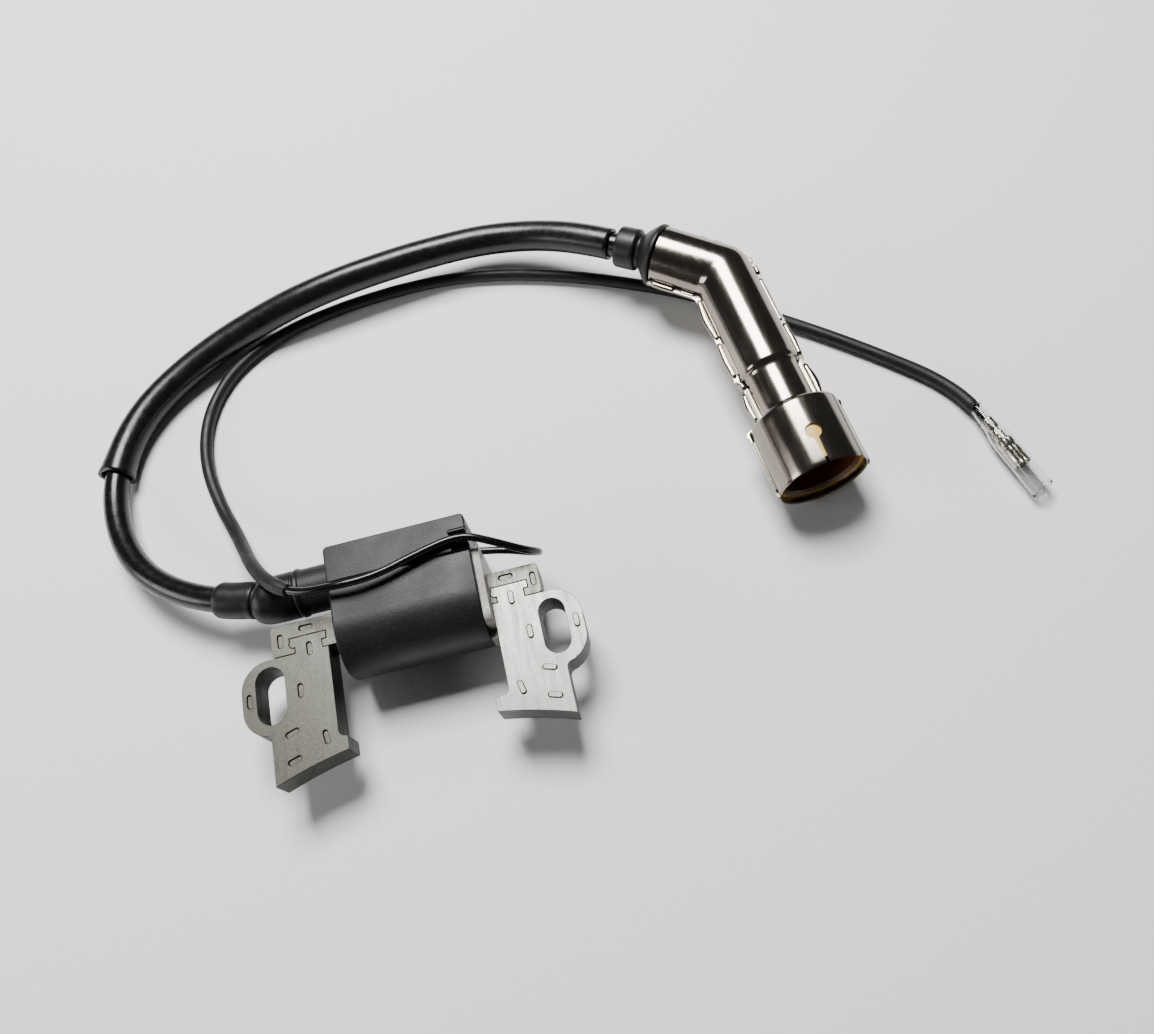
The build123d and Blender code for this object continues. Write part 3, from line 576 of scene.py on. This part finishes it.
def rubber_boot():
    """Cup over the tower with a lip at its mouth, waist at the bend, and grip on the lead."""
    first, last = 8.0 * MM, 34.0 * MM
    start = mm(*LEAD_ROUTE[0])
    path = blend_path(lead_path, start, Vector((-1, 0, 0)), first, last, 16 * MM, 24 * MM)
    corners = [
        (0.4, 5.0), (0.4, 6.4), (1.7, 6.55), (1.9, 6.1), (2.5, 6.1), (2.7, 6.3), (10.6, 6.25),
        (12.2, 5.7), (12.6, 4.4), (13.3, 4.4), (13.5, 4.95), (23.4, 4.85), (24.4, 4.4),
        (24.4, 3.4), (0.4, 3.4),
    ]
    profile = densify(smooth_profile(corners, 0.5), 0.8 * MM)
    return lathe("outlet_boot_rubber", path, profile, BOOT, 48, True)


def braid_height(u, v):
    """Height of a plain weave at strand counts u and v, from the strand that is on top."""
    over = (math.floor(u) + math.floor(v)) % 2 == 0
    part = u % 1.0 if over else v % 1.0
    return math.sqrt(max(0.0, 1.0 - (2 * part - 1) ** 2))


def woven_sleeve():
    """Braided sleeve: two sets of strands wound opposite ways, over and under each other."""
    start, stop = BRAID_START * wire_path.length, BRAID_STOP * wire_path.length
    around = BRAID_STRANDS * SAMPLES
    step = 2 * math.pi * BRAID_R / around
    count = int((stop - start) / step)
    rings = []
    for i in range(count + 1):
        distance = start + step * i
        centre, tangent, side, up = wire_path.frame(distance)
        end = min(1.0, (distance - start) / BRAID_TAPER_IN, (stop - distance) / BRAID_TAPER_OUT)
        ring = []
        for j in range(around):
            angle = 2 * math.pi * j / around
            u, v = (j + i + 0.5) / SAMPLES, (j - i + 0.5) / SAMPLES
            radius = BRAID_R * (BRAID_PINCHED + BRAID_OPENS * end)
            radius *= wave(distance, angle, 0.05, 90)
            radius += BRAID_DEPTH * (braid_height(u, v) - BRAID_LEVEL)
            ring.append(centre + (side * math.cos(angle) + up * math.sin(angle)) * radius)
        rings.append(ring)
    return rings_object("woven_sleeve", rings, BRAID)


# ------------------------------------------------------------------ plug cap

record = frame["record"]
swivel = record["behaviour"]["joints"][0]
socket_mount = next(m for m in record["mounts"] if m["name"] == "plug_socket")
ELBOW = Vector(swivel["pos_m"])
SHORT = -Vector(swivel["axis"]).normalized()
LONG = Vector(socket_mount["axis"]).normalized()
CAP_UP = LONG.cross(SHORT).normalized()
SHORT_SIDE, LONG_SIDE = CAP_UP.cross(SHORT), CAP_UP.cross(LONG)
HALF_TURN = SHORT.angle(LONG) / 2

MOUTH, ARM_R, NECK_X, SOCKET_X, ARM_L = 19.0, 8.6, 34.0, 50.0, 68.5
SHEET, SEAM_W = 0.45, 1.3
SOCKET_BORE, SOCKET_SKIN = 10.6, 11.4
KEYHOLE_X, KEYHOLE_R, SLIT_WIDE, SLIT_NARROW = 59.3, 2.1, 1.3, 0.6
BEND_CUT, BEND_CUT_OUTSIDE = 1.4, 2.2
MOUTH_STEPS, BEND_STEPS, ARM_STEPS = 11, 8, 14
NECK_SEAM, SOCKET_SEAM = 0.8, 0.45             # share of the seam's width on the neck and socket
SEAM_ROOT, SEAM_GAP, HALF_STEPS = 0.5, 0.03, 34
CUTTER_HEIGHTS, HOLE_STEPS = (4.0, 16.0), 24
# Distance from the elbow and radius of the shield's long arm, in millimetres
LONG_PROFILE = [
    (5.0, 8.6), (32.2, 8.6), (33.2, 8.75), (34.0, 8.55), (34.6, 7.85), (35.4, 7.7), (46.7, 7.7),
    (47.3, 8.6), (48.7, 11.9), (49.3, 12.3), (67.4, 12.3), (68.1, 12.25), (68.5, 12.05),
]


def radius_at(x):
    """Radius of the long arm at a distance from the elbow, in millimetres."""
    for (x0, r0), (x1, r1) in zip(LONG_PROFILE, LONG_PROFILE[1:]):
        if x <= x1:
            return r0 + (r1 - r0) * max(0.0, x - x0) / (x1 - x0)
    return LONG_PROFILE[-1][1]


def cap_line(side, height, out=0.0, lift=0.0):
    """One lengthwise line of the shield, from its mouth round the mitred elbow to the rim.

    side and height are fractions of the radius. out and lift, in millimetres, are added to them.
    The bend is sharp on the inside and round on the outside.
    """
    width, rise = ARM_R * side + out, CAP_UP * (ARM_R * height + lift)
    corner = SHORT * width * math.tan(HALF_TURN) + SHORT_SIDE * width + rise
    cut = BEND_CUT + BEND_CUT_OUTSIDE * max(0.0, side)
    start = SHORT * -MOUTH + SHORT_SIDE * width + rise
    first, last = corner - SHORT * cut, corner + LONG * cut
    points = [start.lerp(first, i / MOUTH_STEPS) for i in range(MOUTH_STEPS + 1)]
    for i in range(1, BEND_STEPS + 1):
        t = i / BEND_STEPS
        points.append(first * (1 - t) ** 2 + corner * 2 * t * (1 - t) + last * t * t)
    x0 = last.dot(LONG)
    run = LONG_PROFILE[1][0] - x0
    straight = [(x0 + run * i / ARM_STEPS, ARM_R) for i in range(1, ARM_STEPS)]
    for x, r in densify(smooth_profile(LONG_PROFILE[1:], 0.5), 1.5 * MM):
        straight.append((x / MM, r / MM))
    for x, r in straight:
        shrink = 1.0 if x < NECK_X else SOCKET_SEAM if x > SOCKET_X else NECK_SEAM
        away = LONG_SIDE * (side * r + out * shrink) + CAP_UP * (height * r + lift)
        points.append(LONG * x + away)
    return [ELBOW + p * MM for p in points]


def bake(piece, material):
    """Applies a piece's modifiers and keeps the result as its mesh."""
    graph = bpy.context.evaluated_depsgraph_get()
    mesh = bpy.data.meshes.new_from_object(piece.evaluated_get(graph))
    piece.modifiers.clear()
    piece.data = mesh
    mesh.materials.clear()
    mesh.materials.append(material)
    mesh.shade_smooth()
    mesh.set_sharp_from_angle(angle=SMOOTH_ANGLE)
    return piece


def keyhole_cutter():
    """Round hole with a slit that narrows towards the rim, cut through the shield's top."""
    outline = []
    start = math.asin(SLIT_WIDE / 2 / KEYHOLE_R)
    for i in range(HOLE_STEPS + 1):
        angle = start + (2 * math.pi - 2 * start) * i / HOLE_STEPS
        outline.append((KEYHOLE_X + KEYHOLE_R * math.cos(angle), KEYHOLE_R * math.sin(angle)))
    outline += [(ARM_L + 1, -SLIT_NARROW / 2), (ARM_L + 1, SLIT_NARROW / 2)]
    rings = []
    for height in CUTTER_HEIGHTS:
        level = CAP_UP * height
        rings.append([ELBOW + (LONG * x + LONG_SIDE * y + level) * MM for x, y in outline])
    return rings_object("keyhole_cutter", rings, NICKEL)


def shield_half(name, top, cutter=None):
    """Stamped half of the shield with its seam flanges; top is 1 above the seam and -1 below."""
    lift = SEAM_GAP + SHEET
    low = math.asin(lift / ARM_R)
    lines = [cap_line(1, 0, SEAM_W, top * lift), cap_line(1, 0, SEAM_ROOT, top * lift)]
    for i in range(HALF_STEPS + 1):
        angle = low + (math.pi - 2 * low) * i / HALF_STEPS
        lines.append(cap_line(math.cos(angle), top * math.sin(angle)))
    lines += [cap_line(-1, 0, -SEAM_ROOT, top * lift), cap_line(-1, 0, -SEAM_W, top * lift)]
    count = len(lines[0])
    faces = []
    for i in range(len(lines) - 1):
        for j in range(count - 1):
            a, b = i * count + j, (i + 1) * count + j
            face = (a, b, b + 1, a + 1)
            faces.append(face if top > 0 else tuple(reversed(face)))
    half = mesh_object(name, [p for line in lines for p in line], faces, NICKEL)
    skin = half.modifiers.new("sheet", "SOLIDIFY")
    skin.thickness, skin.offset, skin.use_even_offset = SHEET * MM, -1, False
    if cutter:
        cut = half.modifiers.new("cut", "BOOLEAN")
        cut.operation, cut.solver, cut.object = "DIFFERENCE", "EXACT", cutter
    return bake(half, NICKEL)


FOLD_STEP, FOLD_SECTION, FOLD_SQUARE = 0.7, 20, 0.8
FOLD_TAPER, FOLD_BLUNT = 0.6, 0.12
FOLD_DENT, FOLD_DENT_RATE = 0.06, 0.9


def folded_bar(name, arm, sign, x0, x1, out, half_w, half_h, bulge):
    """Rounded strip folded over the seam flanges; sign is 1 on the outer side of the bend.

    x0 and x1 are distances from the elbow along the arm, out is the strip's distance from the wall.
    """
    direction, across = (SHORT, SHORT_SIDE) if arm == "short" else (LONG, LONG_SIDE)
    steps = max(10, int(abs(x1 - x0) / FOLD_STEP))
    rings = []
    for i in range(steps + 1):
        part = i / steps
        x = x0 + (x1 - x0) * part
        radius = ARM_R if arm == "short" else radius_at(x)
        swell = bulge * math.sin(math.pi * part) ** 2
        end = min(1.0, math.sqrt(min(part, 1 - part) * abs(x1 - x0) / FOLD_TAPER + FOLD_BLUNT))
        dent = FOLD_DENT * noise.noise(Vector((x * FOLD_DENT_RATE, sign * 7.0, out)))
        centre = ELBOW + (direction * x + across * sign * (radius + out + swell / 2 + dent)) * MM
        ring = []
        for j in range(FOLD_SECTION):
            angle = 2 * math.pi * j / FOLD_SECTION
            c, s = math.cos(angle), math.sin(angle)
            w = math.copysign(abs(c) ** FOLD_SQUARE, c) * (half_w + swell / 2) * end
            h = math.copysign(abs(s) ** FOLD_SQUARE, s) * half_h * end
            ring.append(centre + (across * sign * w + CAP_UP * h) * MM)
        rings.append(ring)
    return rings_object(name, rings, NICKEL)


# Folded strips: arm, side, from, to, distance from the wall, half width, half height, bulge
SEAM_FOLDS = [
    ("short", -1, -18.3, -10.2, 0.75, 0.75, 0.85, 0.1),
    ("short", -1, -9.2, -4.2, 0.6, 0.60, 0.70, 0.0),
    ("short", 1, -18.3, -12.0, 0.45, 0.50, 0.70, 0.0),
    ("short", 1, -11.0, -8.2, 0.8, 0.70, 1.15, 0.0),
    ("short", 1, -7.0, -3.6, 0.8, 0.70, 1.15, 0.0),
    ("long", -1, 4.8, 19.5, 0.6, 0.75, 0.85, 0.7),
    ("long", -1, 19.9, 32.4, 0.75, 0.80, 0.90, 0.35),
    ("long", -1, 33.2, 36.6, 0.8, 0.90, 1.30, 0.0),
    ("long", -1, 37.2, 46.8, 1.5, 0.75, 0.95, 0.5),
    ("long", -1, 51.0, 67.6, 0.15, 0.42, 1.00, 0.0),
    ("long", 1, -2.6, 0.4, 0.5, 0.50, 0.65, 0.0),
    ("long", 1, 1.0, 4.4, 0.8, 0.70, 1.15, 0.0),
    ("long", 1, 5.2, 21.0, 0.5, 0.55, 0.65, 0.0),
    ("long", 1, 21.4, 32.8, 0.8, 0.70, 0.95, 0.3),
    ("long", 1, 35.2, 46.9, 1.6, 0.75, 0.95, 0.7),
    ("long", 1, 51.0, 67.6, 0.15, 0.42, 1.00, 0.0),
]


def joined(name, pieces):
    """One piece made of several, which are removed."""
    work = bmesh.new()
    for piece in pieces:
        work.from_mesh(piece.data)
    mesh = bpy.data.meshes.new(name)
    work.to_mesh(mesh)
    work.free()
    mesh.materials.append(pieces[0].data.materials[0])
    for piece in pieces:
        bpy.data.objects.remove(piece)
    whole = bpy.data.objects.new(name, mesh)
    bpy.context.collection.objects.link(whole)
    mesh.shade_smooth()
    return whole


def seam_folds():
    strips = [folded_bar(f"fold_{number}", *fold) for number, fold in enumerate(SEAM_FOLDS)]
    return joined("seam_folds", strips)


def rubber_seal():
    """Collar on the lead, waist, flared skirt round the shield's mouth and spigot inside it."""
    gap = 9 * MM
    length = lead_path.length
    origin = ELBOW - SHORT * (length + gap)
    first, last = length - 25 * MM, length - 4 * MM
    path = blend_path(lead_path, origin, SHORT, first, last, length - 12 * MM, length - 21 * MM)
    corners = [
        (2.0, 3.4), (2.0, 5.9), (8.0, 6.0), (8.5, 4.9), (9.5, 4.9), (9.9, 5.6), (11.6, 7.4),
        (13.3, 9.0), (14.6, 9.1), (14.6, 6.2), (20.8, 6.2), (20.8, 3.4),
    ]
    profile = densify(smooth_profile(corners, 0.5), 0.8 * MM)
    return lathe("cap_seal_rubber", path, profile, BOOT, 56, True)


# ------------------------------------------------------------------ laminated core

LAMINATION, GROOVE, GROOVE_HALF = 0.5 * MM, 0.07 * MM, 0.07 * MM
EDGE_BEVEL = 0.14 * MM
FLAT = 0.999                      # least upward part of a flat face's normal
WELD, LEVEL, STRAIGHT = 1e-6, 1e-7, math.radians(0.5)
MARK_LOW, MARK_HIGH, MARK_SLOPE, MARK_PRESS = 0.2 * MM, 0.5 * MM, 0.26 * MM, 0.08 * MM


def laminated(node, material):
    """The node's shape as a stack of sheets, grooved between them, with rounded rims."""
    bottom, top = (corner[2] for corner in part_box("core_yoke"))
    work = bmesh.new()
    work.from_mesh(frame["nodes"][node].data)
    bmesh.ops.remove_doubles(work, verts=work.verts, dist=WELD)
    bmesh.ops.dissolve_limit(work, angle_limit=STRAIGHT, verts=work.verts, edges=work.edges)
    sheets = round((top - bottom) / LAMINATION)
    for level in range(1, sheets):
        z = bottom + level * LAMINATION
        for offset in (-GROOVE_HALF, 0.0, GROOVE_HALF):
            everything = work.verts[:] + work.edges[:] + work.faces[:]
            place = (0, 0, z + offset)
            bmesh.ops.bisect_plane(work, geom=everything, plane_co=place, plane_no=(0, 0, 1))
        work.normal_update()
        for vertex in work.verts:
            if abs(vertex.co.z - z) < LEVEL:
                inward = Vector((vertex.normal.x, vertex.normal.y, 0)).normalized()
                vertex.co -= inward * GROOVE
    work.normal_update()
    taper_marks(work, top)
    rims = [e for e in work.edges if is_rim(e, (bottom, top))]
    bmesh.ops.bevel(work, geom=rims, offset=EDGE_BEVEL, segments=2, profile=0.5, affect="EDGES")
    mesh = bpy.data.meshes.new(f"{node}_sheets")
    work.to_mesh(mesh)
    work.free()
    piece = bpy.data.objects.new(f"{node}_sheets", mesh)
    bpy.context.collection.objects.link(piece)
    mesh.materials.append(material)
    mesh.shade_smooth()
    mesh.set_sharp_from_angle(angle=SMOOTH_ANGLE)
    for face in mesh.polygons:
        face.use_smooth = abs(face.normal.z) < FLAT
    return piece


def taper_marks(work, top):
    """Slopes the walls of the interlock marks, which are pressed into the stack or stand on it."""
    for face in list(work.faces):
        rise = face.calc_center_median().z - top
        if face.normal.z < FLAT or not MARK_LOW < abs(rise) < MARK_HIGH:
            continue
        centre = face.calc_center_bounds()
        for vertex in face.verts:
            shift = vertex.co - centre
            long = shift.length
            vertex.co = centre + shift * (1 - MARK_SLOPE / max(long, MARK_SLOPE))
            vertex.co.z += MARK_PRESS * math.copysign(1, rise)


def is_rim(edge, levels):
    flat = any(all(abs(v.co.z - z) < LEVEL for v in edge.verts) for z in levels)
    upright = [abs(f.normal.z) < 0.5 for f in edge.link_faces]
    return flat and any(upright) and not all(upright)


# ------------------------------------------------------------------ end of the stop wire

def wire_end_path():
    corner, end = mm(*WIRE_ROUTE[-2]), mm(*WIRE_ROUTE[-1])
    direction = (end - corner).normalized()
    return Path([corner + direction * i * MM for i in range(-1, 32)])


def clear_sleeve(path):
    """Soft clear sleeve, tapered over the wire and wide over the receptacle."""
    wall = 0.4
    outer = [(1.2, 1.75), (5.0, 2.0), (8.6, 2.25), (12.0, 2.95), (14.0, 3.1), (30.2, 3.1)]
    inner = [(x, r - wall) for x, r in reversed(outer)]
    corners = outer + inner
    profile = densify(smooth_profile(corners, 0.5), 1.0 * MM)

    def shape(distance, angle, radius):
        mouth = max(0.0, (distance - 26 * MM) / (4 * MM))
        return wave(distance, angle, 0.02, 140), -0.35 * MM * mouth * math.cos(angle)

    return lathe("clear_sleeve", path, profile, CLEAR, 48, True, shape)


def bullet_receptacle(path):
    """Tinned receptacle: crimped wings on the wire, neck, and a barrel with a belled mouth."""
    corners = [
        (6.0, 1.15), (6.0, 1.55), (9.2, 1.6), (9.6, 1.2), (10.4, 1.2), (10.8, 1.5), (12.6, 1.5),
        (13.2, 2.0), (13.8, 2.4), (15.4, 2.4), (15.7, 2.2), (16.4, 2.2), (16.7, 2.4), (20.9, 2.42),
        (21.7, 2.55), (21.7, 2.3), (20.8, 1.95), (14.0, 1.95), (14.0, 0.1),
    ]
    profile = densify(smooth_profile(corners, 0.25), 0.4 * MM)

    def shape(distance, angle, radius):
        pinch = 0.10 * math.cos(2 * angle) if distance < 12.8 * MM else 0.0
        fold = math.exp(-((angle - math.pi / 2) / 0.16) ** 2)
        return 1.0 + pinch - 0.12 * fold, 0.0

    return lathe("bullet_receptacle", path, profile, TIN, 48, False, shape)


# ------------------------------------------------------------------ putting it together

FLOOR_SIZE, FLOOR_Z = 3.0, -0.02 * MM
SKY, SKY_STRENGTH = (0.9, 0.95, 1.0, 1), 0.06
LIGHTS_AIM = (0.03, 0.05, 0)
# Lights: name, place, size and power in watts
LIGHTS = [
    ("softbox", (0.0, 0.45, 0.75), (0.42, 0.34), 17.0),
    ("side_panel", (-0.7, -0.05, 0.28), (0.5, 0.3), 3.0),
]


def floor():
    size, drop = FLOOR_SIZE, FLOOR_Z
    points = [(-size, -size, drop), (size, -size, drop), (size, size, drop), (-size, size, drop)]
    plane = mesh_object("floor", points, [(0, 1, 2, 3)], floor_paint(), smooth=False)


def area_light(name, place, size, power):
    data = bpy.data.lights.new(name, "AREA")
    data.shape, data.size, data.size_y = "RECTANGLE", size[0], size[1]
    data.energy = power
    lamp = bpy.data.objects.new(name, data)
    bpy.context.collection.objects.link(lamp)
    aim = (Vector(LIGHTS_AIM) - Vector(place)).to_track_quat("-Z", "Y")
    lamp.matrix_world = Matrix.Translation(place) @ aim.to_matrix().to_4x4()


def studio():
    world = bpy.data.worlds.new("studio")
    world.use_nodes = True
    background = world.node_tree.nodes["Background"]
    background.inputs["Color"].default_value = SKY
    background.inputs["Strength"].default_value = SKY_STRENGTH
    bpy.context.scene.world = world
    for light in LIGHTS:
        area_light(*light)


floor()
studio()

sleeve = adopt(loose_sleeve(), COIL, "sleeve_vinyl", "protective_sleeve")
boot = adopt(rubber_boot(), COIL, "boot_rubber", "outlet_boot")
seal = adopt(rubber_seal(), COIL, "boot_rubber", "cap_seal")
cutter = keyhole_cutter()
upper_half = shield_half("shield_upper_sheet", 1, cutter)
upper = adopt(upper_half, CAP, "shield_nickel", "cap_shield_upper")
bpy.data.objects.remove(cutter)
lower = adopt(shield_half("shield_lower_sheet", -1), CAP, "shield_nickel", "cap_shield_lower")
folds = adopt(seam_folds(), CAP, "shield_nickel")
weave = adopt(woven_sleeve(), COIL, "braid", "braided_sleeve")
end_path = wire_end_path()
clear = adopt(clear_sleeve(end_path), COIL, "clear_vinyl", "terminal_insulator")
bullet = adopt(bullet_receptacle(end_path), COIL, "terminal_tin", "bullet_terminal")

# The right leg takes the painted-lit copy of the steel; the yoke and the left leg take the
# painted-shade copy.
STEELS = {
    "core_yoke": STEEL_PAINTED_SHADE, "core_leg_left": STEEL_PAINTED_SHADE, "core_leg_right": STEEL_PAINTED_LIT,
}
for node, steel in STEELS.items():
    adopt(laminated(node, steel), COIL, "core_steel", node)

AMBER = amber_phenolic()
PAINTED = {
    "housing": NYLON, "primary_bobbin": BOBBIN, "primary_winding": COPPER,
    "secondary_bobbin": BOBBIN, "secondary_winding": COPPER, "trigger_board": BOARD,
    "igniter_transistor": CHIP, "board_resistors": CERAMIC, "ht_terminal": BRASS,
    "potting_resin": RESIN, "cap_insulator": AMBER, "lead_screw": BRASS,
    "cap_resistor": CERAMIC, "cap_spring": SPRING, "plug_terminal": BRASS,
    "terminal_snap_ring": SPRING,
}
for node, material in PAINTED.items():
    paint(node, material)

lead.data.materials.append(JACKET)
stop_lead.data.materials.append(WIRE)
adopt(lead, COIL, "lead_jacket", "ht_lead")
adopt(stop_lead, COIL, "wire_jacket", "stop_wire")
